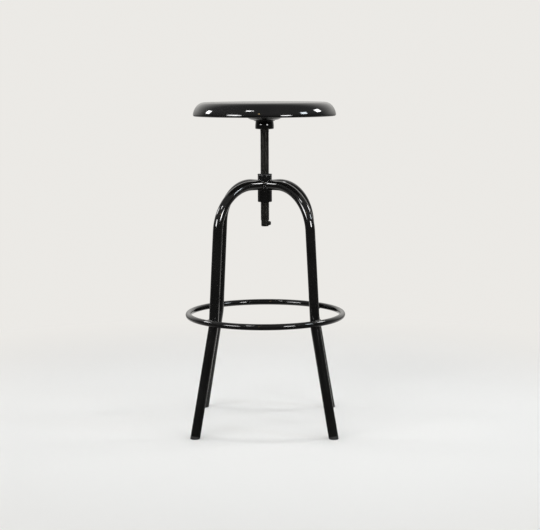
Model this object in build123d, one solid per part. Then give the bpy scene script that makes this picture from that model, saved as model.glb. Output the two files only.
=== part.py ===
from build123d import *
import math
import os

# Swivel bar stool: a round pressed seat on a screw spindle, over four bent tube legs and a foot ring.
# Millimetres, +Z up. The origin is on the floor, on the axis of the spindle.

# Seat pan, pressed from one sheet
seat_height = 754.0
seat_diameter = 330.0
seat_depth = 32.0
seat_sheet = 1.5
seat_flank_width = 26.0
rim_curl_inner_radius = 1.5
rim_lip_width = 2.0

# Support dish, welded under the pan by its flange
dish_sheet = 2.0
dish_drop_below_rim = 7.3
dish_floor_diameter = 63.0
dish_slope = 45.0
dish_corner_inner_radius = 2.0
dish_flange_width = 15.0

# Hub, a turned collar under the dish, slightly barrelled
hub_diameter = 42.4
hub_length = 22.5
hub_barrel = 0.6
hub_edge_radius = 3.0

# Spindle, a screw with a turned stub at its foot and a tang at its head
spindle_diameter = 20.0
spindle_below_nut = 57.0
spindle_end_radius = 2.0
stub_diameter = 17.4
stub_length = 14.4
tang_diameter = 16.0
tang_end_chamfer = 1.0

# Lock washer and lock nut on the tang, hidden inside the dish
lock_washer_diameter = 30.0
lock_washer_thickness = 3.0
lock_nut_flats = 24.0
lock_nut_height = 13.0
tang_past_nut = 3.0

# Stop screw, set sideways in the stub
stop_screw_diameter = 6.0
stop_screw_length = 11.0
stop_head_diameter = 9.7
stop_head_height = 4.5
stop_head_edge_radius = 1.8

# Spindle nut, the long threaded sleeve that the legs are welded to
nut_diameter = 33.0
nut_length = 62.5
nut_below_arm = 39.4
nut_edge_chamfer = 1.2
nut_mouth_chamfer = 1.0

# Wear washer, loose on the spindle between the nut and the hub
wear_washer_diameter = 33.6
wear_washer_thickness = 2.4
wear_washer_edge_chamfer = 0.5

# Legs: each runs out level, bends down, then kicks out at an elbow
leg_diameter = 22.0
leg_wall = 1.5
leg_arm_height = 563.4
leg_shoulder_reach = 140.8
leg_elbow_reach = 162.8
leg_elbow_height = 250.4
leg_foot_reach = 221.7
leg_bend_radius = 104.7

# Foot ring, one bent bar outside the legs, at the top of their elbows
ring_bar_diameter = 14.0

# Foot plugs, pushed into the tubes and cut flat on the floor
plug_stand = 5.3
plug_spigot_length = 22.0
plug_rib_count = 3
plug_rib_depth = 0.8
plug_rib_width = 1.8
plug_edge_chamfer = 1.0

# Weld beads
hub_weld_size = 3.2
hub_weld_throat = 2.1
leg_weld_size = 4.0
ring_weld_radius = 8.0

# Fits
thread_clearance = 0.05
washer_clearance = 0.1
slip_clearance = 0.1
resting_gap = 0.05
weld_root_gap = 0.1

# Heights and radii that follow
seat_radius = seat_diameter / 2
pan_underside = seat_height - seat_sheet
rim_bottom = seat_height - seat_depth
dish_bottom = rim_bottom - dish_drop_below_rim
dish_floor_top = dish_bottom + dish_sheet
hub_bottom = dish_bottom - hub_length
nut_bottom = leg_arm_height - nut_below_arm
nut_top = nut_bottom + nut_length
spindle_bottom = nut_bottom - spindle_below_nut
stub_top = spindle_bottom + stub_length
stop_screw_height = spindle_bottom + stub_length / 2
lock_nut_bottom = dish_floor_top + lock_washer_thickness
tang_top = lock_nut_bottom + lock_nut_height + tang_past_nut
leg_radius = leg_diameter / 2
leg_bore_radius = leg_radius - leg_wall
tang_hole_radius = tang_diameter / 2 + slip_clearance

# Leg line, drawn in the XZ plane with X pointing away from the spindle
arm_start = Vector(0, 0, leg_arm_height)
shoulder = Vector(leg_shoulder_reach, 0, leg_arm_height)
elbow = Vector(leg_elbow_reach, 0, leg_elbow_height)
foot = Vector(leg_foot_reach, 0, 0)
upper_run = (elbow - shoulder).normalized()
lower_run = (foot - elbow).normalized()
tube_end = foot - lower_run * plug_stand
elbow_turn = math.radians(upper_run.get_angle(lower_run))
elbow_top = elbow - upper_run * (leg_bend_radius * math.tan(elbow_turn / 2))
upper_outward = Vector(-upper_run.Z, 0, upper_run.X)
ring_contact = elbow_top + upper_outward * leg_radius
ring_center = ring_contact + upper_outward * (weld_root_gap + ring_bar_diameter / 2)

# Azimuth of each leg from +X, on the diagonals, with the front along -Y
leg_places = ["rear_right", "rear_left", "front_left", "front_right"]
leg_azimuths = {place: 360 / len(leg_places) * (turn + 0.5) for turn, place in enumerate(leg_places)}


def turned(profile):
    """A solid of revolution about the spindle axis from a profile drawn as (radius, height)."""
    return revolve(Plane.XZ * profile, Axis.Z)


def outline(points):
    """A flat face inside straight lines through the points."""
    return make_face(Polyline(*points, close=True))


def corner(face, radius, height):
    """The corner of a profile nearest to a point."""
    return min(face.vertices(), key=lambda v: math.hypot(v.X - radius, v.Y - height))


def bored_disc(diameter, bore_radius, bottom, thickness):
    """A plain ring such as a washer, with its lower face at the given height."""
    disc = Circle(diameter / 2) - Circle(bore_radius)
    return extrude(Plane.XY.offset(bottom) * disc, thickness)


def make_seat_pan():
    """One sheet: a flat top, a flank that is a quarter of an ellipse, and a rim curled inward."""
    flat_radius = seat_radius - seat_flank_width
    curl_radius = rim_curl_inner_radius + seat_sheet
    curl_height = rim_bottom + curl_radius
    curl_center_radius = seat_radius - curl_radius
    flank_drop = seat_height - curl_height
    lip_radius = curl_center_radius - rim_lip_width
    inner_flank = (seat_flank_width - seat_sheet, flank_drop - seat_sheet)
    edges = [
        Line((0, seat_height), (flat_radius, seat_height)),
        EllipticalCenterArc((flat_radius, curl_height), seat_flank_width, flank_drop, arc_size=90),
        CenterArc((curl_center_radius, curl_height), curl_radius, 0, -90),
        Line((curl_center_radius, rim_bottom), (lip_radius, rim_bottom)),
        Line((lip_radius, rim_bottom), (lip_radius, rim_bottom + seat_sheet)),
        Line((lip_radius, rim_bottom + seat_sheet), (curl_center_radius, rim_bottom + seat_sheet)),
        CenterArc((curl_center_radius, curl_height), rim_curl_inner_radius, 0, -90),
        EllipticalCenterArc((flat_radius, curl_height), *inner_flank, arc_size=90),
        Line((flat_radius, pan_underside), (0, pan_underside)),
        Line((0, pan_underside), (0, seat_height)),
    ]
    return turned(make_face(edges))


def make_support_dish():
    """A pressed saucer: a flat floor under the hub nut, a sloping wall and a flange under the pan."""
    slope = math.radians(dish_slope)
    floor_radius = dish_floor_diameter / 2
    flange_bottom = pan_underside - dish_sheet
    wall_top_radius = floor_radius + (flange_bottom - dish_bottom) / math.tan(slope)
    rim_radius = wall_top_radius + dish_flange_width
    mitre = dish_sheet * math.tan(slope / 2)
    face = outline([
        (tang_hole_radius, dish_bottom),
        (floor_radius, dish_bottom),
        (wall_top_radius, flange_bottom),
        (rim_radius, flange_bottom),
        (rim_radius, pan_underside),
        (wall_top_radius - mitre, pan_underside),
        (floor_radius - mitre, dish_floor_top),
        (tang_hole_radius, dish_floor_top),
    ])
    outer_radius = dish_corner_inner_radius + dish_sheet
    face = fillet(corner(face, floor_radius, dish_bottom), outer_radius)
    face = fillet(corner(face, wall_top_radius - mitre, pan_underside), outer_radius)
    face = fillet(corner(face, wall_top_radius, flange_bottom), dish_corner_inner_radius)
    face = fillet(corner(face, floor_radius - mitre, dish_floor_top), dish_corner_inner_radius)
    return turned(face)


def make_hub():
    """A collar with slightly barrelled sides and a rounded lower edge, bored for the spindle's tang."""
    side_radius = hub_diameter / 2
    end_radius = side_radius - hub_barrel
    edges = [
        Line((tang_hole_radius, hub_bottom), (end_radius, hub_bottom)),
        ThreePointArc(
            (end_radius, hub_bottom),
            (side_radius, hub_bottom + hub_length / 2),
            (end_radius, dish_bottom),
        ),
        Line((end_radius, dish_bottom), (tang_hole_radius, dish_bottom)),
        Line((tang_hole_radius, dish_bottom), (tang_hole_radius, hub_bottom)),
    ]
    face = make_face(edges)
    return turned(fillet(corner(face, end_radius, hub_bottom), hub_edge_radius))


def make_hub_weld(hub):
    """The bead in the corner between the hub's side and the dish's floor."""
    inner = hub_diameter / 2 - hub_barrel
    toe = inner + hub_weld_size
    heel = dish_bottom - hub_weld_size
    root = inner - hub_weld_size
    edges = [
        Line((root, dish_bottom), (toe, dish_bottom)),
        ThreePointArc((toe, dish_bottom), (inner + hub_weld_throat, dish_bottom - hub_weld_throat), (inner, heel)),
        Line((inner, heel), (root, heel)),
        Line((root, heel), (root, dish_bottom)),
    ]
    return turned(make_face(edges)) - hub


def make_spindle():
    """The screw's body, with the stub that carries the stop screw and the tang that carries the seat."""
    body = spindle_diameter / 2
    stub = stub_diameter / 2
    tang = tang_diameter / 2
    face = outline([
        (0, spindle_bottom),
        (stub, spindle_bottom),
        (stub, stub_top),
        (body, stub_top),
        (body, hub_bottom),
        (tang, hub_bottom),
        (tang, tang_top),
        (0, tang_top),
    ])
    face = fillet(corner(face, stub, spindle_bottom), spindle_end_radius)
    face = chamfer(corner(face, tang, tang_top), tang_end_chamfer)
    return turned(face) - stop_screw_line(stop_screw_diameter / 2 + thread_clearance, stop_screw_length)


def stop_screw_line(radius, length):
    """A cylinder that runs into the stub from its side, towards -X."""
    mouth = Plane((stub_diameter / 2, 0, stop_screw_height), z_dir=(-1, 0, 0))
    return mouth * extrude(Circle(radius), length)


def make_stop_screw():
    """A screw whose round head stands out of the stub and meets the nut when the seat is at its highest."""
    seat = Plane((stub_diameter / 2, 0, stop_screw_height), z_dir=(1, 0, 0))
    head = extrude(Circle(stop_head_diameter / 2), stop_head_height)
    head = fillet(head.edges().sort_by(Axis.Z)[-1], stop_head_edge_radius)
    return seat * head + stop_screw_line(stop_screw_diameter / 2, stop_screw_length)


def make_lock_nut():
    """A hexagon nut on the tang."""
    flats = RegularPolygon(lock_nut_flats / 2, 6, major_radius=False) - Circle(tang_hole_radius)
    return extrude(Plane.XY.offset(lock_nut_bottom) * flats, lock_nut_height)


def make_spindle_nut():
    """A long sleeve with its outer edges broken and its bore countersunk at both ends."""
    outside = nut_diameter / 2
    bore = spindle_diameter / 2 + thread_clearance
    ends = (nut_bottom, nut_top)
    face = outline([(bore, ends[0]), (outside, ends[0]), (outside, ends[1]), (bore, ends[1])])
    for height in ends:
        face = chamfer(corner(face, outside, height), nut_edge_chamfer)
        face = chamfer(corner(face, bore, height), nut_mouth_chamfer)
    return turned(face)


def make_wear_washer():
    """A loose ring that lies on the nut."""
    bottom = nut_top + resting_gap
    bore = spindle_diameter / 2 + washer_clearance
    washer = bored_disc(wear_washer_diameter, bore, bottom, wear_washer_thickness)
    outer_edges = washer.edges().filter_by(GeomType.CIRCLE).sort_by(SortBy.RADIUS)[-2:]
    return chamfer(outer_edges, wear_washer_edge_chamfer)


def leg_rod(section):
    """A section swept along the leg's line, from the spindle axis to the tube's end."""
    line = FilletPolyline(arm_start, shoulder, elbow, tube_end, radius=leg_bend_radius)
    return sweep(Plane(line @ 0, z_dir=line % 0) * section, line)


def leg_quarter():
    """The quarter of the space round the spindle that belongs to one leg."""
    far = 2 * (leg_foot_reach + leg_diameter)
    return extrude(outline([(0, 0), (far, -far), (far, far)]), 2 * seat_height)


def nut_envelope():
    """The space that the nut's outside takes up, over the whole height of the stool."""
    return Cylinder(nut_diameter / 2, 2 * seat_height)


def make_leg():
    """One bent tube, coped to the nut at its inner end and mitred clear of the legs beside it."""
    tube = leg_rod(Circle(leg_radius) - Circle(leg_bore_radius))
    return (tube - nut_envelope()) & leg_quarter()


def make_leg_welds():
    """The bead that runs round the four coped tube ends and fills the corners between them."""
    toe = nut_diameter / 2 + leg_weld_size
    arm = Plane(arm_start, z_dir=(1, 0, 0))
    collar = arm * Pos(0, 0, toe / 2) * Cone(leg_radius + toe, leg_radius, toe)
    collar -= arm * extrude(Circle(leg_radius), 2 * toe)
    collar = (collar - nut_envelope()) & leg_quarter()
    return Part() + [Rot(0, 0, azimuth) * collar for azimuth in leg_azimuths.values()]


def make_foot_ring():
    """One bar bent into a full circle and welded to the outside of every leg."""
    return Pos(0, 0, ring_center.Z) * Torus(ring_center.X, ring_bar_diameter / 2)


def make_ring_weld(ring):
    """The bead in the crevice between the ring and one leg."""
    bead = Pos(ring_contact) * Sphere(ring_weld_radius)
    return bead - leg_rod(Circle(leg_radius)) - ring


def make_foot_plug():
    """A plug with a ribbed spigot inside the tube and a sole cut level with the floor."""
    spigot_radius = leg_bore_radius - slip_clearance
    core_radius = spigot_radius - plug_rib_depth
    rib_pitch = plug_spigot_length / plug_rib_count
    along = Plane(tube_end, z_dir=lower_run)
    plug = along * extrude(Circle(leg_radius), plug_stand + leg_diameter)
    plug += along * extrude(Circle(core_radius), -plug_spigot_length)
    for index in range(plug_rib_count):
        rib_start = Plane(tube_end - lower_run * (rib_pitch * index + rib_pitch / 2), z_dir=lower_run)
        plug += rib_start * extrude(Circle(spigot_radius), plug_rib_width)
    below_floor = Pos(foot.X, 0, -seat_height / 2) * Box(seat_height, seat_height, seat_height)
    plug -= below_floor
    return chamfer(plug.edges().group_by(Axis.Z)[0], plug_edge_chamfer)


def make_parts():
    """Every piece of the stool by its name, where it stands."""
    hub = make_hub()
    ring = make_foot_ring()
    parts = {
        "seat_pan": make_seat_pan(),
        "seat_support_dish": make_support_dish(),
        "seat_hub": hub,
        "hub_weld": make_hub_weld(hub),
        "spindle": make_spindle(),
        "stop_screw": make_stop_screw(),
        "lock_washer": bored_disc(
            lock_washer_diameter, tang_hole_radius, dish_floor_top, lock_washer_thickness
        ),
        "lock_nut": make_lock_nut(),
        "wear_washer": make_wear_washer(),
        "spindle_nut": make_spindle_nut(),
        "leg_welds": make_leg_welds(),
        "foot_ring": ring,
    }
    leg = make_leg()
    plug = make_foot_plug()
    ring_weld = make_ring_weld(ring)
    for place, azimuth in leg_azimuths.items():
        parts["leg_" + place] = Rot(0, 0, azimuth) * leg
        parts["foot_plug_" + place] = Rot(0, 0, azimuth) * plug
    turned_welds = [Rot(0, 0, azimuth) * ring_weld for azimuth in leg_azimuths.values()]
    parts["ring_welds"] = Compound(children=turned_welds)
    return parts


os.makedirs("parts", exist_ok=True)
for name, shape in make_parts().items():
    export_step(shape, "parts/" + name + ".step")

print("travel down", round(hub_bottom - nut_top - resting_gap - wear_washer_thickness, 3))
print("travel up", round(nut_bottom - stop_screw_height - stop_head_diameter / 2, 3))
print("ring radius and height", round(ring_center.X, 3), round(ring_center.Z, 3))
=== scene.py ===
import math

import bmesh
import bpy
from mathutils import Matrix, Vector


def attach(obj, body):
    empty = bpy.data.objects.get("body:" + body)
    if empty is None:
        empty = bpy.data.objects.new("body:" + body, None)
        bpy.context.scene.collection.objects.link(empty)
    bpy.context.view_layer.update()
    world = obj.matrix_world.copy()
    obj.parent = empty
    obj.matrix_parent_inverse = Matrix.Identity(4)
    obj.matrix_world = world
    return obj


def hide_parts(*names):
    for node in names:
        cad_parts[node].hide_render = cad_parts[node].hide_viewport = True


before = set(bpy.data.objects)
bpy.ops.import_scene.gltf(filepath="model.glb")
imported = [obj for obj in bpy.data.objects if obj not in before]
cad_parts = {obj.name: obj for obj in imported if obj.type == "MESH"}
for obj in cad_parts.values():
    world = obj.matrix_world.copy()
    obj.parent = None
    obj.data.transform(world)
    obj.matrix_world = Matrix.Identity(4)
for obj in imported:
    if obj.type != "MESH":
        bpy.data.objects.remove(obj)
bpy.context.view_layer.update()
mm = 0.001
scene = bpy.context.scene
scene.view_settings.view_transform = "Standard"


# selecting and drawing, with the tolerances in metres

samePoint = 1e-6
weldGap = 2e-6
cornerReach = 1e-5
cornerSegments = 5


def clearSelection():
    if bpy.context.object and bpy.context.object.mode != "OBJECT":
        bpy.ops.object.mode_set(mode="OBJECT")
    bpy.ops.object.select_all(action="DESELECT")


def activate(piece):  # selects this piece alone
    clearSelection()
    piece.select_set(True)
    bpy.context.view_layer.objects.active = piece


def nameActive(name):
    piece = bpy.context.object
    piece.name = name
    piece.data.name = name
    return piece


def pick(piece, kind, test):  # selects what passes the test, in edit mode
    bpy.ops.mesh.select_mode(type=kind)
    bpy.ops.mesh.select_all(action="DESELECT")
    cage = bmesh.from_edit_mesh(piece.data)
    group = {"VERT": cage.verts, "EDGE": cage.edges}[kind]
    for item in group:
        if test(item):
            item.select_set(True)
    cage.select_flush_mode()
    bmesh.update_edit_mesh(piece.data)


def drawProfile(name, points):
    # one point is pulled along the outline in the plane y = 0; a third number rounds that corner
    clearSelection()
    bpy.ops.mesh.primitive_plane_add(size=mm, location=(0, 0, 0))
    piece = nameActive(name)
    bpy.ops.object.mode_set(mode="EDIT")
    bpy.ops.mesh.select_mode(type="VERT")
    bpy.ops.mesh.select_all(action="SELECT")
    bpy.ops.mesh.merge(type="CENTER")
    bpy.ops.transform.translate(value=(points[0][0] * mm, 0, points[0][1] * mm))
    for before, after in zip(points, points[1:]):
        step = ((after[0] - before[0]) * mm, 0, (after[1] - before[1]) * mm)
        bpy.ops.mesh.extrude_vertices_move(TRANSFORM_OT_translate={"value": step})
    bpy.ops.mesh.select_all(action="SELECT")
    bpy.ops.mesh.remove_doubles(threshold=samePoint)
    for before, here, after in zip(points, points[1:], points[2:]):
        if len(here) > 2:
            back = Vector((here[0] - before[0], here[1] - before[1]))
            ahead = Vector((after[0] - here[0], after[1] - here[1]))
            reach = here[2] * math.tan(back.angle(ahead) / 2)
            place = Vector((here[0] * mm, 0, here[1] * mm))
            pick(piece, "VERT", lambda v: (v.co - place).length < cornerReach)
            bpy.ops.mesh.bevel(offset=reach * mm, segments=cornerSegments, affect="VERTICES")
    return piece


def closeShell():  # joins the seams of the mesh in edit mode, turns its faces outward and leaves edit mode
    bpy.ops.mesh.select_all(action="SELECT")
    bpy.ops.mesh.remove_doubles(threshold=weldGap)
    bpy.ops.mesh.normals_make_consistent(inside=False)
    bpy.ops.object.mode_set(mode="OBJECT")


def spinProfile(steps):  # turns the outline in edit mode once round the spindle's axis
    bpy.ops.mesh.select_all(action="SELECT")
    bpy.ops.mesh.spin(steps=steps, angle=2 * math.pi, center=(0, 0, 0), axis=(0, 0, 1))
    closeShell()


def smoothPiece(piece, sharpAngle=35):
    activate(piece)
    bpy.ops.object.shade_smooth_by_angle(angle=math.radians(sharpAngle))


def applyModifiers(piece):
    activate(piece)
    for modifier in list(piece.modifiers):
        bpy.ops.object.modifier_apply(modifier=modifier.name)


def freezePlace(piece):  # puts the object's place into its mesh
    activate(piece)
    bpy.ops.object.transform_apply(location=True, rotation=True, scale=True)


def turnedCopy(piece, name, degrees):  # a copy with its own mesh, turned about the spindle
    activate(piece)
    bpy.ops.object.duplicate(linked=False)
    copy = nameActive(name)
    copy.rotation_euler = (0, 0, math.radians(degrees))
    freezePlace(copy)
    return copy


def turnedPoint(x, y, z, degrees):  # a point turned about the spindle
    turn = math.radians(degrees)
    return x * math.cos(turn) - y * math.sin(turn), x * math.sin(turn) + y * math.cos(turn), z


def fitPiece(piece, body, node, finish):
    piece.data.materials.clear()
    piece.data.materials.append(finish)
    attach(piece, body)
    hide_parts(node)


# finishes; a noise is given by its scale, its detail and, where it isn't a half, its roughness

noiseMiddle = (0.3, 0.7)  # most of a noise lies between these


def newFinish(name):
    finish = bpy.data.materials.new(name)
    finish.use_nodes = True
    return finish, finish.node_tree, finish.node_tree.nodes["Principled BSDF"]


def addNode(tree, kind, inputs=None, **settings):
    node = tree.nodes.new(kind)
    for key, value in settings.items():
        setattr(node, key, value)
    for key, value in (inputs or {}).items():
        if isinstance(value, bpy.types.NodeSocket):
            tree.links.new(value, node.inputs[key])
        else:
            node.inputs[key].default_value = value
    return node


def addNoise(tree, place, scale, detail, roughness=0.5):
    inputs = {"Vector": place, "Scale": scale, "Detail": detail, "Roughness": roughness}
    return addNode(tree, "ShaderNodeTexNoise", inputs).outputs["Fac"]


def addRange(tree, value, low, high, toLow, toHigh):
    inputs = {"Value": value, "From Min": low, "From Max": high, "To Min": toLow, "To Max": toHigh}
    return addNode(tree, "ShaderNodeMapRange", inputs, interpolation_type="SMOOTHSTEP").outputs["Result"]


def addMath(tree, operation, first, second):
    return addNode(tree, "ShaderNodeMath", {0: first, 1: second}, operation=operation).outputs[0]


def addMix(tree, amount, first, second):  # sockets 6 and 7 are the node's two colours
    inputs = {"Factor": amount, 6: first, 7: second}
    return addNode(tree, "ShaderNodeMix", inputs, data_type="RGBA").outputs[2]


def addBump(tree, height, distance, strength=1.0):
    inputs = {"Strength": strength, "Distance": distance, "Height": height}
    return addNode(tree, "ShaderNodeBump", inputs)


def addTint(tree, amount, dark, light):
    ramp = tree.nodes.new("ShaderNodeValToRGB")
    ramp.color_ramp.elements[0].color = (*dark, 1)
    ramp.color_ramp.elements[1].color = (*light, 1)
    tree.links.new(amount, ramp.inputs["Fac"])
    return ramp.outputs["Color"]


paintLook = {
    "dark": (0.0024, 0.0023, 0.0022), "light": (0.0046, 0.0044, 0.0042), "patches": (14, 4),
    "dust": (0.024, 0.023, 0.022), "dustRough": 0.3, "lying": (0.75, 1.0),
    "specks": (1500, 3, 0.6), "speckEdge": (0.66, 0.74), "drifts": (22, 5), "driftEdge": (0.42, 0.75),
    "smears": (9, 6, 0.6), "smearEdge": (0.3, 0.75), "rough": (0.05, 0.10),
    "swell": (45, 1), "swellHeight": 8e-6,  # slow waves of the sheet and tube under the coat
    "peel": (420, 2), "peelHeight": 7e-7,  # orange peel of the sprayed coat
    "refraction": 1.6,
}


def makeGlossPaint(v):
    finish, tree, shader = newFinish("glossBlackPaint")
    place = addNode(tree, "ShaderNodeTexCoord").outputs["Object"]
    patches = addRange(tree, addNoise(tree, place, *v["patches"]), *noiseMiddle, 0, 1)
    colour = addTint(tree, patches, v["dark"], v["light"])
    facing = addNode(tree, "ShaderNodeNewGeometry").outputs["Normal"]
    upward = addNode(tree, "ShaderNodeSeparateXYZ", {0: facing}).outputs["Z"]
    lying = addRange(tree, upward, *v["lying"], 0, 1)
    specks = addRange(tree, addNoise(tree, place, *v["specks"]), *v["speckEdge"], 0, 1)
    drifts = addRange(tree, addNoise(tree, place, *v["drifts"]), *v["driftEdge"], 0, 1)
    dust = addMath(tree, "MULTIPLY", lying, addMath(tree, "MULTIPLY", specks, drifts))
    tree.links.new(addMix(tree, dust, colour, (*v["dust"], 1)), shader.inputs["Base Color"])
    smears = addRange(tree, addNoise(tree, place, *v["smears"]), *v["smearEdge"], *v["rough"])
    dulled = addMath(tree, "ADD", smears, addMath(tree, "MULTIPLY", dust, v["dustRough"]))
    tree.links.new(dulled, shader.inputs["Roughness"])
    swell = addBump(tree, addNoise(tree, place, *v["swell"]), v["swellHeight"])
    peel = addBump(tree, addNoise(tree, place, *v["peel"]), v["peelHeight"])
    tree.links.new(swell.outputs["Normal"], peel.inputs["Normal"])
    tree.links.new(peel.outputs["Normal"], shader.inputs["Normal"])
    shader.inputs["IOR"].default_value = v["refraction"]
    return finish


screwLook = {
    "valley": (0.0050, 0.0048, 0.0046), "crest": (0.0120, 0.0116, 0.0104),
    "rubbed": (0.0094, 0.0100),  # the radii between which the thread begins to look rubbed, in metres
    "wear": (160, 5), "leastWear": 0.35,
    "grain": (700, 4, 0.6), "grainHeight": 4e-5, "grainStrength": 0.5, "rough": (0.36, 0.55),
    "gloss": 0.30, "glossTint": (1, 0.97, 0.86, 1),
}


def makeScrewSteel(v):
    finish, tree, shader = newFinish("blackenedScrewSteel")
    place = addNode(tree, "ShaderNodeTexCoord").outputs["Object"]
    parts = addNode(tree, "ShaderNodeSeparateXYZ", {0: place})
    across = addNode(tree, "ShaderNodeCombineXYZ", {0: parts.outputs["X"], 1: parts.outputs["Y"]}).outputs[0]
    radius = addNode(tree, "ShaderNodeVectorMath", {0: across}, operation="LENGTH").outputs["Value"]
    rubbed = addRange(tree, radius, *v["rubbed"], 0, 1)
    wear = addRange(tree, addNoise(tree, place, *v["wear"]), *noiseMiddle, v["leastWear"], 1)
    patchy = addMath(tree, "MULTIPLY", rubbed, wear)
    tree.links.new(addTint(tree, patchy, v["valley"], v["crest"]), shader.inputs["Base Color"])
    grain = addNoise(tree, place, *v["grain"])
    tree.links.new(addRange(tree, grain, *noiseMiddle, *v["rough"]), shader.inputs["Roughness"])
    shader.inputs["Specular IOR Level"].default_value = v["gloss"]
    shader.inputs["Specular Tint"].default_value = v["glossTint"]
    bump = addBump(tree, grain, v["grainHeight"], v["grainStrength"])
    tree.links.new(bump.outputs["Normal"], shader.inputs["Normal"])
    return finish


steelLook = {
    "dark": (0.42, 0.41, 0.40), "light": (0.60, 0.60, 0.61), "stain": (120, 5),
    "grain": (420, 4), "rough": (0.28, 0.48),
}


def makePlainSteel(v):
    finish, tree, shader = newFinish("plainSteel")
    place = addNode(tree, "ShaderNodeTexCoord").outputs["Object"]
    stain = addNoise(tree, place, *v["stain"])
    tree.links.new(addTint(tree, stain, v["dark"], v["light"]), shader.inputs["Base Color"])
    grain = addNoise(tree, place, *v["grain"])
    tree.links.new(addRange(tree, grain, *noiseMiddle, *v["rough"]), shader.inputs["Roughness"])
    shader.inputs["Metallic"].default_value = 1.0
    return finish


moulded = {"cloud": (70, 4), "grainHeight": 5e-5, "grainStrength": 0.6}
nylonLook = {
    **moulded, "dark": (0.010, 0.010, 0.010), "light": (0.018, 0.018, 0.018), "rough": (0.30, 0.45),
    "grain": (900, 3),
}
plugLook = {
    **moulded, "dark": (0.012, 0.012, 0.012), "light": (0.024, 0.024, 0.024), "rough": (0.50, 0.70),
    "grain": (1200, 3),
}


def makePlastic(name, v):
    finish, tree, shader = newFinish(name)
    place = addNode(tree, "ShaderNodeTexCoord").outputs["Object"]
    cloud = addRange(tree, addNoise(tree, place, *v["cloud"]), *noiseMiddle, 0, 1)
    tree.links.new(addTint(tree, cloud, v["dark"], v["light"]), shader.inputs["Base Color"])
    grain = addNoise(tree, place, *v["grain"])
    tree.links.new(addRange(tree, grain, *noiseMiddle, *v["rough"]), shader.inputs["Roughness"])
    bump = addBump(tree, grain, v["grainHeight"], v["grainStrength"])
    tree.links.new(bump.outputs["Normal"], shader.inputs["Normal"])
    return finish


glossPaint = makeGlossPaint(paintLook)
screwSteel = makeScrewSteel(screwLook)
plainSteel = makePlainSteel(steelLook)
blackNylon = makePlastic("blackNylon", nylonLook)
plugPlastic = makePlastic("blackPlugPlastic", plugLook)
print("finishes made")


# seat pan: flat top, flank that still leans a little where the rim curls inward

seatPan = {
    "top": 754, "bottom": 722, "rim": 165, "sheet": 1.5, "flat": 139, "flatMargin": 3, "curl": 4, "lip": 160,
    "lean": 9, "flankSteps": 40, "curlSteps": 10, "steps": 360,
}


def arcRun(centre, radius, fromDeg, toDeg, steps):
    angles = [math.radians(fromDeg + (toDeg - fromDeg) * i / steps) for i in range(steps + 1)]
    return [(centre[0] + radius * math.cos(a), centre[1] + radius * math.sin(a)) for a in angles]


def flankEllipse(v):  # half width, half height and end angle of the ellipse that meets the curl at its lean
    lean = math.radians(v["lean"])
    across = v["rim"] - v["curl"] * (1 - math.cos(lean)) - v["flat"]
    drop = v["top"] - v["bottom"] - v["curl"] * (1 + math.sin(lean))
    share = math.tan(lean) * drop / across
    end = math.asin(share / (1 - share))
    return across / math.cos(end), drop / (1 - math.sin(end)), end


def flankRun(v, inset):  # from the flat top down to the curl, set in by the sheet for the inner face
    wide, tall, end = flankEllipse(v)
    points = []
    for i in range(v["flankSteps"] + 1):
        a = math.pi / 2 + (end - math.pi / 2) * i / v["flankSteps"]
        out = Vector((math.cos(a) / wide, math.sin(a) / tall)).normalized() * inset
        points.append((v["flat"] + wide * math.cos(a) - out.x, v["top"] - tall + tall * math.sin(a) - out.y))
    return points


def makeSeatPan(v):
    inside = v["curl"] - v["sheet"]
    curlCentre = (v["rim"] - v["curl"], v["bottom"] + v["curl"])
    flatEnd = v["flat"] - v["flatMargin"]
    points = [(0, v["top"]), (v["flat"] / 2, v["top"]), (flatEnd, v["top"])]
    points += flankRun(v, 0)
    points += arcRun(curlCentre, v["curl"], v["lean"], -90, v["curlSteps"])[1:]
    points += [(v["lip"], v["bottom"]), (v["lip"], v["bottom"] + v["sheet"])]
    points += arcRun(curlCentre, inside, -90, v["lean"], v["curlSteps"])
    points += flankRun(v, v["sheet"])[-2::-1]
    points += [(flatEnd, v["top"] - v["sheet"]), (0, v["top"] - v["sheet"])]
    pan = drawProfile("pressedSeat", points)
    spinProfile(v["steps"])
    smoothPiece(pan)
    return pan


panPiece = makeSeatPan(seatPan)
fitPiece(panPiece, "seat", "seat_pan", glossPaint)
print("seat pan turned", len(panPiece.data.polygons))


# support dish: pressed saucer with a bowed underside, its corners rounded as the press leaves them

dish = {
    "bore": 8.1, "floor": 714.7, "sheet": 2, "floorRadius": 31.5, "slope": 45, "outerRound": 4, "innerRound": 2,
    "flangeUnder": 750.5, "flange": 15, "flangeEdge": 0.4, "seatRadius": 20, "lip": (21.4, 712.0),
    "belly": (32.0, 713.8, 14), "knuckle": (38.2, 717.0, 12), "steps": 128,
}


def makeDish(v):
    slope = math.radians(v["slope"])  # of the wall's inner face
    wallTop = v["floorRadius"] + (v["flangeUnder"] - v["floor"]) / math.tan(slope)
    mitre = v["sheet"] * math.tan(slope / 2)
    floorTop = v["floor"] + v["sheet"]
    top = v["flangeUnder"] + v["sheet"]
    points = [
        (v["bore"], v["floor"]),
        (v["seatRadius"], v["floor"]),
        v["lip"],
        v["belly"],
        v["knuckle"],
        (wallTop, v["flangeUnder"], v["innerRound"]),
        (wallTop + v["flange"], v["flangeUnder"], v["flangeEdge"]),
        (wallTop + v["flange"], top, v["flangeEdge"]),
        (wallTop - mitre, top, v["outerRound"]),
        (v["floorRadius"] - mitre, floorTop, v["innerRound"]),
        (v["bore"], floorTop),
        (v["bore"], v["floor"]),
    ]
    saucer = drawProfile("supportDish", points)
    spinProfile(v["steps"])
    smoothPiece(saucer)
    return saucer


dishPiece = makeDish(dish)
fitPiece(dishPiece, "seat", "seat_support_dish", glossPaint)
print("dish turned", len(dishPiece.data.polygons))


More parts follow.
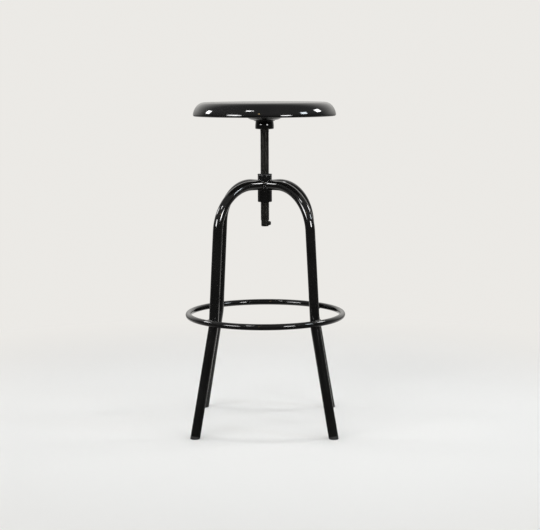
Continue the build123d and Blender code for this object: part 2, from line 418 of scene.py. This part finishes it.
# hub: collar, eased in a little towards the weld, with a rounded lower edge

hub = {
    "radius": 21.6, "bore": 8.1, "bottom": 692.2, "top": 714.7, "edge": 3, "wallBottom": 695.6,
    "taper": 0.95, "taperFrom": 698.4, "taperTo": 713.2, "wallSteps": 16, "steps": 112,
}


def makeHub(v):
    points = [(v["bore"], v["bottom"]), (v["radius"], v["bottom"], v["edge"])]
    for i in range(v["wallSteps"] + 1):
        height = v["wallBottom"] + (v["top"] - v["wallBottom"]) * i / v["wallSteps"]
        share = min(1, max(0, (height - v["taperFrom"]) / (v["taperTo"] - v["taperFrom"])))
        points.append((v["radius"] - v["taper"] * share * share * (3 - 2 * share), height))
    points += [(v["bore"], v["top"]), (v["bore"], v["bottom"])]
    collar = drawProfile("turnedHub", points)
    spinProfile(v["steps"])
    smoothPiece(collar)
    return collar


hubPiece = makeHub(hub)
fitPiece(hubPiece, "seat", "seat_hub", glossPaint)
print("hub turned", len(hubPiece.data.polygons))


# weld beads: strings of overlapping puddles, melted together

puddleMesh = {"segments": 14, "ring_count": 8}
beadSoftness = 0.5
beadSharp = 80


def addPuddle(radius):
    bpy.ops.mesh.primitive_uv_sphere_add(radius=radius * mm, location=(0, 0, 0), **puddleMesh)


def settlePuddle(place, flat):
    bpy.ops.transform.resize(value=(1, 1, flat))
    bpy.ops.transform.translate(value=[c * mm for c in place])


def layBead(name, puddles, voxel, settle):
    # each puddle is a place, a radius and how flat it lies along Z
    clearSelection()
    place, radius, flat = puddles[0]
    addPuddle(radius)
    bead = nameActive(name)
    bpy.ops.object.mode_set(mode="EDIT")
    settlePuddle(place, flat)
    for place, radius, flat in puddles[1:]:
        bpy.ops.mesh.select_all(action="DESELECT")
        addPuddle(radius)
        settlePuddle(place, flat)
    bpy.ops.object.mode_set(mode="OBJECT")
    melt = bead.modifiers.new("melt", "REMESH")
    melt.mode = "VOXEL"
    melt.voxel_size = voxel * mm
    soften = bead.modifiers.new("soften", "SMOOTH")
    soften.factor = beadSoftness
    soften.iterations = settle
    applyModifiers(bead)
    smoothPiece(bead, beadSharp)
    return bead


hubBead = {
    "radius": 21.8, "height": 712.9, "size": 2.4, "flat": 0.85, "puddles": 38, "voxel": 0.45, "settle": 2,
    "swell": 0.12, "swellRate": 5, "ripple": 0.08, "rippleRate": 2.3, "rippleStart": 1,
    "wander": 0.35, "wanderRate": 1.7,
}


def makeHubBead(v):
    puddles = []
    for i in range(v["puddles"]):
        a = 2 * math.pi * i / v["puddles"]
        swell = v["swell"] * math.sin(v["swellRate"] * i)
        ripple = v["ripple"] * math.sin(v["rippleRate"] * i + v["rippleStart"])
        reach = v["radius"] + v["wander"] * math.sin(v["wanderRate"] * i)
        place = (reach * math.cos(a), reach * math.sin(a), v["height"])
        puddles.append((place, v["size"] * (1 + swell + ripple), v["flat"]))
    return layBead("hubBead", puddles, v["voxel"], v["settle"])


hubWeld = makeHubBead(hubBead)
fitPiece(hubWeld, "seat", "hub_weld", glossPaint)
print("hub bead laid", len(hubWeld.data.polygons))


# spindle: cut thread on the body, plain neck under the hub, tang above and stub below

spindle = {
    "crest": 10.0, "root": 9.1, "pitch": 2.5, "threadBottom": 481.4, "threadTop": 686.0, "spareTurns": 2,
    "tooth": (0.2, 0.42, 0.78),  # where the tooth rises, is full and falls, as shares of the pitch
    "neck": 9.9, "neckRise": 0.6, "neckOverlap": 1.5, "tang": 8.0, "tangTop": 735.7, "tangEdge": 1,
    "stub": 8.7, "stubBottom": 467.0, "stubRound": 2, "stubOverlap": 0.8,
    "threadSides": 44, "plainSides": 64, "sharp": 40,
}


def makeThread(v):
    # one tooth is drawn over one pitch and wound up the spindle, then cut level at both ends
    p = v["pitch"]
    rises, full, falls = v["tooth"]
    start = v["threadBottom"] - v["spareTurns"] * p
    tooth = [(v["root"], start), (v["root"], start + rises * p), (v["crest"], start + full * p),
             (v["crest"], start + falls * p), (v["root"], start + p)]
    thread = drawProfile("threadedSpindle", tooth)
    bpy.ops.object.mode_set(mode="OBJECT")
    wind = thread.modifiers.new("wind", "SCREW")
    wind.axis = "Z"
    wind.angle = 2 * math.pi
    wind.screw_offset = p * mm
    wind.iterations = math.ceil((v["threadTop"] - start) / p) + v["spareTurns"]
    wind.steps = v["threadSides"]
    wind.render_steps = v["threadSides"]
    wind.use_merge_vertices = True
    wind.merge_threshold = samePoint
    applyModifiers(thread)
    bpy.ops.object.mode_set(mode="EDIT")
    bpy.ops.mesh.select_all(action="SELECT")
    bpy.ops.mesh.remove_doubles(threshold=weldGap)
    for height, upper in ((v["threadBottom"], False), (v["threadTop"], True)):
        bpy.ops.mesh.select_all(action="SELECT")
        bpy.ops.mesh.bisect(plane_co=(0, 0, height * mm), plane_no=(0, 0, 1), use_fill=True,
                            clear_outer=upper, clear_inner=not upper)
    closeShell()
    return thread


def makeSpindle(v):
    thread = makeThread(v)
    topStart = v["threadTop"] - v["neckOverlap"]
    top = drawProfile("spindleTop", [
        (0, topStart), (v["root"], topStart), (v["neck"], v["threadTop"] + v["neckRise"]),
        (v["neck"], hub["bottom"]), (v["tang"], hub["bottom"]), (v["tang"], v["tangTop"] - v["tangEdge"]),
        (v["tang"] - v["tangEdge"], v["tangTop"]), (0, v["tangTop"]),
    ])
    spinProfile(v["plainSides"])
    stubTop = v["threadBottom"] + v["stubOverlap"]
    foot = drawProfile("spindleFoot", [
        (0, v["stubBottom"]), (v["stub"], v["stubBottom"], v["stubRound"]), (v["stub"], stubTop), (0, stubTop),
    ])
    spinProfile(v["plainSides"])
    clearSelection()
    for part in (top, foot, thread):
        part.select_set(True)
    bpy.context.view_layer.objects.active = thread
    bpy.ops.object.join()
    smoothPiece(thread, v["sharp"])
    return thread


spindlePiece = makeSpindle(spindle)
fitPiece(spindlePiece, "seat", "spindle", screwSteel)
print("spindle threaded", len(spindlePiece.data.polygons))


# stop screw: domed and slotted head, standing out of the stub towards +X

stopScrew = {
    "height": 474.2, "head": 4.85, "tall": 4.5, "edge": 0.3, "dome": 1.8, "shank": 3.0, "length": 11,
    "slot": 1.2, "slotDepth": 1.4, "cutterReach": 3, "slotTurn": 24, "steps": 48,
}


def makeStopScrew(v):
    screw = drawProfile("slottedStopScrew", [
        (0, -v["length"]), (v["shank"], -v["length"]), (v["shank"], 0), (v["head"], 0, v["edge"]),
        (v["head"], v["tall"], v["dome"]), (0, v["tall"]),
    ])
    spinProfile(v["steps"])
    clearSelection()
    bpy.ops.mesh.primitive_cube_add(size=1, location=(0, 0, v["tall"] * mm))
    cutter = nameActive("slotCutter")
    cutter.scale = (v["slot"] * mm, v["cutterReach"] * v["head"] * mm, 2 * v["slotDepth"] * mm)
    freezePlace(cutter)
    cut = screw.modifiers.new("slot", "BOOLEAN")
    cut.operation = "DIFFERENCE"
    cut.object = cutter
    applyModifiers(screw)
    bpy.data.objects.remove(cutter)
    screw.rotation_euler = (math.radians(v["slotTurn"]), math.radians(90), 0)
    screw.location = (spindle["stub"] * mm, 0, v["height"] * mm)
    freezePlace(screw)
    smoothPiece(screw)
    return screw


stopScrewPiece = makeStopScrew(stopScrew)
fitPiece(stopScrewPiece, "seat", "stop_screw", screwSteel)
print("stop screw cut", len(stopScrewPiece.data.polygons))


# wear washer on top of the sleeve

washer = {
    "radius": 16.8, "bore": 10.1, "bottom": 586.55, "thick": 2.4, "seam": 0.6, "edge": 0.5, "boreEdge": 0.3,
    "steps": 96,
}


def makeWasher(v):
    top = v["bottom"] + v["thick"]
    seam = (v["bore"], v["bottom"] + v["seam"])
    ring = drawProfile("wearWasher", [
        seam, (v["bore"], v["bottom"]), (v["radius"], v["bottom"], v["edge"]),
        (v["radius"], top, v["edge"]), (v["bore"], top, v["boreEdge"]), seam,
    ])
    spinProfile(v["steps"])
    smoothPiece(ring)
    return ring


washerPiece = makeWasher(washer)
fitPiece(washerPiece, "washer", "wear_washer", blackNylon)


# sleeve: the long nut that the legs are welded to

sleeve = {"radius": 16.5, "bore": 10.06, "bottom": 524.0, "top": 586.5, "edge": 1.3, "mouth": 1.0, "steps": 96}


def makeSleeve(v):
    seam = (v["bore"], (v["bottom"] + v["top"]) / 2)
    tube = drawProfile("threadedSleeve", [
        seam, (v["bore"], v["bottom"] + v["mouth"]), (v["bore"] + v["mouth"], v["bottom"]),
        (v["radius"], v["bottom"], v["edge"]), (v["radius"], v["top"], v["edge"]),
        (v["bore"] + v["mouth"], v["top"]), (v["bore"], v["top"] - v["mouth"]), seam,
    ])
    spinProfile(v["steps"])
    smoothPiece(tube)
    return tube


sleevePiece = makeSleeve(sleeve)
fitPiece(sleevePiece, "frame", "spindle_nut", glossPaint)
print("washer and sleeve turned")


# legs: one tube is extruded and bent, then copied to the four corners

leg = {
    "radius": 11, "wall": 1.5, "innerEnd": 12.25, "armHeight": 563.4, "shoulder": 140.8,
    "elbow": (162.8, 250.4), "foot": (221.7, 0), "bend": 104.7, "plugStand": 5.3,
    "sides": 64, "bendSteps": 80, "elbowSteps": 12,
}
legTurns = {"rear_right": 45, "rear_left": 135, "front_left": 225, "front_right": 315}

shoulderPoint = Vector((leg["shoulder"], leg["armHeight"]))
elbowPoint = Vector(leg["elbow"])
footPoint = Vector(leg["foot"])
upperRun = (elbowPoint - shoulderPoint).normalized()
lowerRun = (footPoint - elbowPoint).normalized()
shoulderTurn = Vector((1, 0)).angle(upperRun)
elbowTurn = upperRun.angle(lowerRun)
elbowTop = elbowPoint - upperRun * leg["bend"] * math.tan(elbowTurn / 2)
tubeEnd = footPoint - lowerRun * leg["plugStand"]
upperOut = Vector((-upperRun.y, upperRun.x))


def inSpace(flatPoint):  # a point of the leg's own plane, in metres
    return (flatPoint.x * mm, 0, flatPoint.y * mm)


def makeLeg(v):
    clearSelection()
    bpy.ops.mesh.primitive_circle_add(vertices=v["sides"], radius=v["radius"] * mm,
                                      location=(v["innerEnd"] * mm, 0, v["armHeight"] * mm),
                                      rotation=(0, math.pi / 2, 0))
    tube = nameActive("legTube")
    freezePlace(tube)
    bpy.ops.object.mode_set(mode="EDIT")
    bpy.ops.mesh.select_mode(type="EDGE")
    bpy.ops.mesh.select_all(action="SELECT")
    bendStart = v["shoulder"] - v["bend"] * math.tan(shoulderTurn / 2)
    straight = (bendStart - v["innerEnd"]) * mm
    bpy.ops.mesh.extrude_region_move(TRANSFORM_OT_translate={"value": (straight, 0, 0)})
    bendCentre = Vector((bendStart, v["armHeight"] - v["bend"]))
    bpy.ops.mesh.spin(steps=v["bendSteps"], angle=shoulderTurn, center=inSpace(bendCentre), axis=(0, -1, 0))
    bendEnd = shoulderPoint + upperRun * v["bend"] * math.tan(shoulderTurn / 2)
    bpy.ops.mesh.extrude_region_move(TRANSFORM_OT_translate={"value": inSpace(elbowTop - bendEnd)})
    elbowCentre = elbowTop + upperOut * v["bend"]
    bpy.ops.mesh.spin(steps=v["elbowSteps"], angle=elbowTurn, center=inSpace(elbowCentre), axis=(0, 1, 0))
    elbowEnd = elbowPoint + lowerRun * v["bend"] * math.tan(elbowTurn / 2)
    bpy.ops.mesh.extrude_region_move(TRANSFORM_OT_translate={"value": inSpace(tubeEnd - elbowEnd)})
    closeShell()
    wall = tube.modifiers.new("wall", "SOLIDIFY")
    wall.thickness = v["wall"] * mm
    wall.offset = -1
    applyModifiers(tube)
    smoothPiece(tube)
    return tube


legTube = makeLeg(leg)
for place, degrees in legTurns.items():
    legCopy = turnedCopy(legTube, "legTube_" + place, degrees)
    fitPiece(legCopy, "frame", "leg_" + place, glossPaint)
bpy.data.objects.remove(legTube)
print("legs bent")


# leg bead: puddles along the line where each tube meets the sleeve

legBead = {
    "sleeve": 16.4, "size": 2.7, "flat": 1, "puddles": 26, "voxel": 0.5, "settle": 9,
    "swell": 0.14, "swellRate": 3.1, "ripple": 0.08, "rippleRate": 7.7,
}


def makeLegBead(v):
    puddles = []
    for degrees in legTurns.values():
        for i in range(v["puddles"]):
            a = 2 * math.pi * (i + 0.5) / v["puddles"]
            y = leg["radius"] * math.cos(a)
            x = math.sqrt(v["sleeve"] ** 2 - y * y)
            z = leg["armHeight"] + leg["radius"] * math.sin(a)
            swell = v["swell"] * math.sin(v["swellRate"] * i + degrees)
            ripple = v["ripple"] * math.sin(v["rippleRate"] * i)
            puddles.append((turnedPoint(x, y, z, degrees), v["size"] * (1 + swell + ripple), v["flat"]))
    return layBead("legBead", puddles, v["voxel"], v["settle"])


legWeld = makeLegBead(legBead)
fitPiece(legWeld, "frame", "leg_welds", glossPaint)
print("leg bead laid", len(legWeld.data.polygons))


# foot ring: a bar section spun once round the stool

ring = {"bar": 7, "gap": 0.1, "sides": 40, "steps": 400}
ringContact = elbowTop + upperOut * leg["radius"]
ringCentre = ringContact + upperOut * (ring["gap"] + ring["bar"])


def makeRing(v):
    clearSelection()
    bpy.ops.mesh.primitive_circle_add(vertices=v["sides"], radius=v["bar"] * mm, location=inSpace(ringCentre),
                                      rotation=(math.pi / 2, 0, 0))
    bar = nameActive("footRing")
    freezePlace(bar)
    bpy.ops.object.mode_set(mode="EDIT")
    spinProfile(v["steps"])
    smoothPiece(bar)
    return bar


ringPiece = makeRing(ring)
fitPiece(ringPiece, "frame", "foot_ring", glossPaint)
print("ring spun", ringCentre)


# ring beads: two short runs on each leg, above and below the bar

ringBead = {
    "size": 2.6, "flat": 0.9, "run": 5.2, "curve": 0.03, "lift": 5.4, "out": 1.6, "puddles": 5, "voxel": 0.5,
    "settle": 2, "swell": 0.12, "swellRate": 2.9,
}


def makeRingBead(v):
    puddles = []
    for degrees in legTurns.values():
        for side in (-1, 1):
            spot = ringContact + upperOut * v["out"] + upperRun * (-side * v["lift"])
            for i in range(v["puddles"]):
                along = v["run"] * (2 * i / (v["puddles"] - 1) - 1)
                x = spot.x - v["curve"] * along * along
                swell = v["swell"] * math.sin(v["swellRate"] * i + degrees + side)
                puddles.append((turnedPoint(x, along, spot.y, degrees), v["size"] * (1 + swell), v["flat"]))
    return layBead("ringBead", puddles, v["voxel"], v["settle"])


ringWeld = makeRingBead(ringBead)
fitPiece(ringWeld, "frame", "ring_welds", glossPaint)
print("ring beads laid", len(ringWeld.data.polygons))


# foot plugs: ribbed spigot in the tube, sole drawn too long and cut level with the floor

plug = {
    "flange": 11, "spigot": 9.4, "core": 8.6, "spigotLength": 22, "tipEdge": 0.6, "ribs": 3, "ribWidth": 1.8,
    "ribFlat": 1.08, "soleLength": 15.9, "edge": 0.9, "edgeSegments": 3, "steps": 56,
}


def makePlug(v):
    pitch = v["spigotLength"] / v["ribs"]
    points = [(0, v["spigotLength"]), (v["core"], v["spigotLength"], v["tipEdge"])]
    for i in reversed(range(v["ribs"])):
        low = pitch * (i + 0.5) - v["ribWidth"]
        points += [(v["core"], low + v["ribWidth"]), (v["spigot"], low + v["ribFlat"]),
                   (v["spigot"], low), (v["core"], low)]
    points += [(v["core"], 0), (v["flange"], 0), (v["flange"], -v["soleLength"]), (0, -v["soleLength"])]
    stopper = drawProfile("footPlug", points)
    spinProfile(v["steps"])
    tilt = math.atan2(lowerRun.x, -lowerRun.y)
    stopper.rotation_euler = (0, -tilt, 0)
    stopper.location = inSpace(tubeEnd)
    freezePlace(stopper)
    bpy.ops.object.mode_set(mode="EDIT")
    bpy.ops.mesh.select_all(action="SELECT")
    bpy.ops.mesh.bisect(plane_co=(0, 0, 0), plane_no=(0, 0, 1), use_fill=True, clear_inner=True)
    pick(stopper, "EDGE", lambda e: all(abs(p.co.z) < samePoint for p in e.verts))
    bpy.ops.mesh.bevel(offset=v["edge"] * mm, segments=v["edgeSegments"], affect="EDGES")
    closeShell()
    smoothPiece(stopper)
    return stopper


plugPiece = makePlug(plug)
for place, degrees in legTurns.items():
    plugCopy = turnedCopy(plugPiece, "footPlug_" + place, degrees)
    fitPiece(plugCopy, "frame", "foot_plug_" + place, plugPlastic)
bpy.data.objects.remove(plugPiece)
print("plugs fitted")

# hidden lock washer and lock nut keep their solids
for node in ("lock_washer", "lock_nut"):
    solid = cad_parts[node]
    solid.data.materials.clear()
    solid.data.materials.append(plainSteel)


# floor and room: where the gloss mirrors them, both are pale behind the stool and dim elsewhere

stage = {
    "pale": (0.835, 0.820, 0.790), "fill": 0.57,
    "floor": (0.84, 0.84, 0.8274), "floorRough": 0.6, "floorGloss": 0.08, "reach": 7.0, "sides": 96,
    "fade": (0.55, 1.5),  # distances between which the lit floor turns into the plain backdrop
    "paperDepth": (-0.25, 0.55), "paperSide": (0.55, 1.3), "besidePaper": 0.12,
    "roomLow": 0.055, "roomHigh": 0.24, "roomRise": (0.05, 0.55),
    "behind": (0.20, 0.90), "sweepLow": 0.62, "sweepHigh": 1.15, "sweepRise": (0.0, 0.25),
}


def makeFloor(v):
    clearSelection()
    bpy.ops.mesh.primitive_circle_add(vertices=v["sides"], radius=v["reach"], fill_type="NGON",
                                      location=(0, 0, 0))
    ground = nameActive("paleFloor")
    finish, tree, shader = newFinish("paleFloor")
    ground.data.materials.append(finish)
    shader.inputs["Base Color"].default_value = (*v["floor"], 1)
    shader.inputs["Roughness"].default_value = v["floorRough"]
    shader.inputs["Specular IOR Level"].default_value = v["floorGloss"]
    place = addNode(tree, "ShaderNodeTexCoord").outputs["Object"]
    away = addNode(tree, "ShaderNodeVectorMath", {0: place}, operation="LENGTH").outputs["Value"]
    fade = addRange(tree, away, *v["fade"], 0, 1)
    flat = addNode(tree, "ShaderNodeEmission", {"Color": (*v["pale"], 1), "Strength": 1.0})
    seen = addNode(tree, "ShaderNodeMixShader", {0: fade, 1: shader.outputs[0], 2: flat.outputs[0]})
    parts = addNode(tree, "ShaderNodeSeparateXYZ", {0: place})
    depth = addRange(tree, parts.outputs["Y"], *v["paperDepth"], 0, 1)
    side = addMath(tree, "ABSOLUTE", parts.outputs["X"], 0.0)
    onPaper = addMath(tree, "MULTIPLY", depth, addRange(tree, side, *v["paperSide"], 1, v["besidePaper"]))
    dim = (v["roomLow"], v["roomLow"], v["roomLow"], 1)
    colour = addMix(tree, onPaper, dim, (*v["pale"], 1))
    shown = addNode(tree, "ShaderNodeEmission", {"Color": colour, "Strength": 1.0})
    path = addNode(tree, "ShaderNodeLightPath")
    mirrored = addMath(tree, "MAXIMUM", path.outputs["Is Glossy Ray"], path.outputs["Is Transmission Ray"])
    mixed = addNode(tree, "ShaderNodeMixShader", {0: mirrored, 1: seen.outputs[0], 2: shown.outputs[0]})
    below = addNode(tree, "ShaderNodeNewGeometry").outputs["Backfacing"]  # the floor is clear from below
    clear = addNode(tree, "ShaderNodeBsdfTransparent")
    oneSided = addNode(tree, "ShaderNodeMixShader", {0: below, 1: mixed.outputs[0], 2: clear.outputs[0]})
    tree.links.new(oneSided.outputs[0], tree.nodes["Material Output"].inputs["Surface"])


def makeRoom(v):
    world = bpy.data.worlds.new("studioRoom")
    scene.world = world
    world.use_nodes = True
    tree = world.node_tree
    tree.nodes.clear()
    toward = addNode(tree, "ShaderNodeTexCoord").outputs["Generated"]
    parts = addNode(tree, "ShaderNodeSeparateXYZ", {0: toward})
    behind = addRange(tree, parts.outputs["Y"], *v["behind"], 0, 1)
    level = addRange(tree, parts.outputs["Z"], *v["roomRise"], v["roomLow"], v["roomHigh"])
    sweep = addRange(tree, parts.outputs["Z"], *v["sweepRise"], v["sweepLow"], v["sweepHigh"])
    bright = addNode(tree, "ShaderNodeVectorMath", {0: v["pale"], "Scale": sweep}, operation="SCALE")
    mirrored = addMix(tree, behind, level, bright.outputs[0])
    path = addNode(tree, "ShaderNodeLightPath")
    seen = addNode(tree, "ShaderNodeBackground", {"Color": (*v["pale"], 1), "Strength": 1.0})
    shiny = addNode(tree, "ShaderNodeBackground", {"Color": mirrored, "Strength": 1.0})
    even = (v["fill"], v["fill"], v["fill"], 1)
    soft = addNode(tree, "ShaderNodeBackground", {"Color": even, "Strength": 1.0})
    glossy = path.outputs["Is Glossy Ray"]
    lighting = addNode(tree, "ShaderNodeMixShader", {0: glossy, 1: soft.outputs[0], 2: shiny.outputs[0]})
    looking = addMath(tree, "MAXIMUM", path.outputs["Is Camera Ray"], path.outputs["Is Transmission Ray"])
    final = addNode(tree, "ShaderNodeMixShader", {0: looking, 1: lighting.outputs[0], 2: seen.outputs[0]})
    output = addNode(tree, "ShaderNodeOutputWorld")
    tree.links.new(final.outputs[0], output.inputs["Surface"])


# each lamp: bearing from the camera side (right is plus), elevation, distance, width, height, brightness, tint
# and spread, which is 180 for a bare lamp and less for one with a grid that keeps its light off the floor
white = (1, 1, 1)
lamps = {
    "leftStrip": (-47.7, 14.6, 3.2, 1.36, 0.73, 24, white, 42),
    "rightStrip": (35.3, 12.9, 3.2, 0.90, 0.62, 33, white, 42),
    "leftSpot": (-28.5, 45.5, 3.2, 0.38, 0.36, 22, white, 180),
    "leftSpotSmall": (-20.5, 46.2, 3.2, 0.14, 0.26, 17, white, 180),
    "warmSpot": (-7.5, 28.5, 3.2, 0.16, 0.18, 9.5, (1, 0.72, 0.36), 180),
    "leftSideSpot": (-101.2, 24.7, 1.735, 0.28, 0.35, 19, white, 180),
    "rightSpot": (70.0, 26.0, 5.0, 0.92, 0.76, 17.5, (0.86, 0.94, 1), 180),
    "rightSideSpot": (101.5, 30.4, 1.745, 0.33, 0.335, 19, white, 180),
}
aim = Vector((0, 0, 0.6))


def hangLamp(name, bearing, elevation, distance, width, height, brightness, tint, spread):
    turn = math.radians(bearing)
    rise = math.radians(elevation)
    away = Vector((math.sin(turn) * math.cos(rise), -math.cos(turn) * math.cos(rise), math.sin(rise)))
    clearSelection()
    bpy.ops.object.light_add(type="AREA", location=aim + away * distance)
    lamp = bpy.context.object
    lamp.name = name
    lamp.rotation_euler = (-away).to_track_quat("-Z", "Y").to_euler()
    lamp.data.shape = "RECTANGLE"
    lamp.data.size = width
    lamp.data.size_y = height
    half = math.radians(spread) / 2
    gathered = math.tan(half) / (math.tan(half) - half)  # how much a grid brightens the lamp, 1 without one
    lamp.data.spread = 2 * half
    lamp.data.energy = brightness * math.pi * width * height / gathered
    lamp.data.color = tint
    lamp.visible_camera = False


makeFloor(stage)
makeRoom(stage)
for name, values in lamps.items():
    hangLamp(name, *values)
print("room lit")


# camera at the photograph's place

camera = {
    "place": (0.0772, -3.23506, 0.80242), "heading": 1.1683, "down": 7.512, "roll": -0.25,
    "sensor": 36, "lens": 93.09,
}


def makeCamera(v):
    clearSelection()
    bpy.ops.object.camera_add(location=v["place"])
    eye = bpy.context.object
    eye.name = "photoCamera"
    turn = Matrix.Rotation(math.radians(v["heading"]), 4, "Z")
    tip = Matrix.Rotation(math.radians(90 - v["down"]), 4, "X")
    roll = Matrix.Rotation(math.radians(v["roll"]), 4, "Z")
    eye.rotation_euler = (turn @ tip @ roll).to_euler()
    eye.data.sensor_fit = "HORIZONTAL"
    eye.data.sensor_width = v["sensor"]
    eye.data.lens = v["lens"]
    scene.camera = eye


makeCamera(camera)
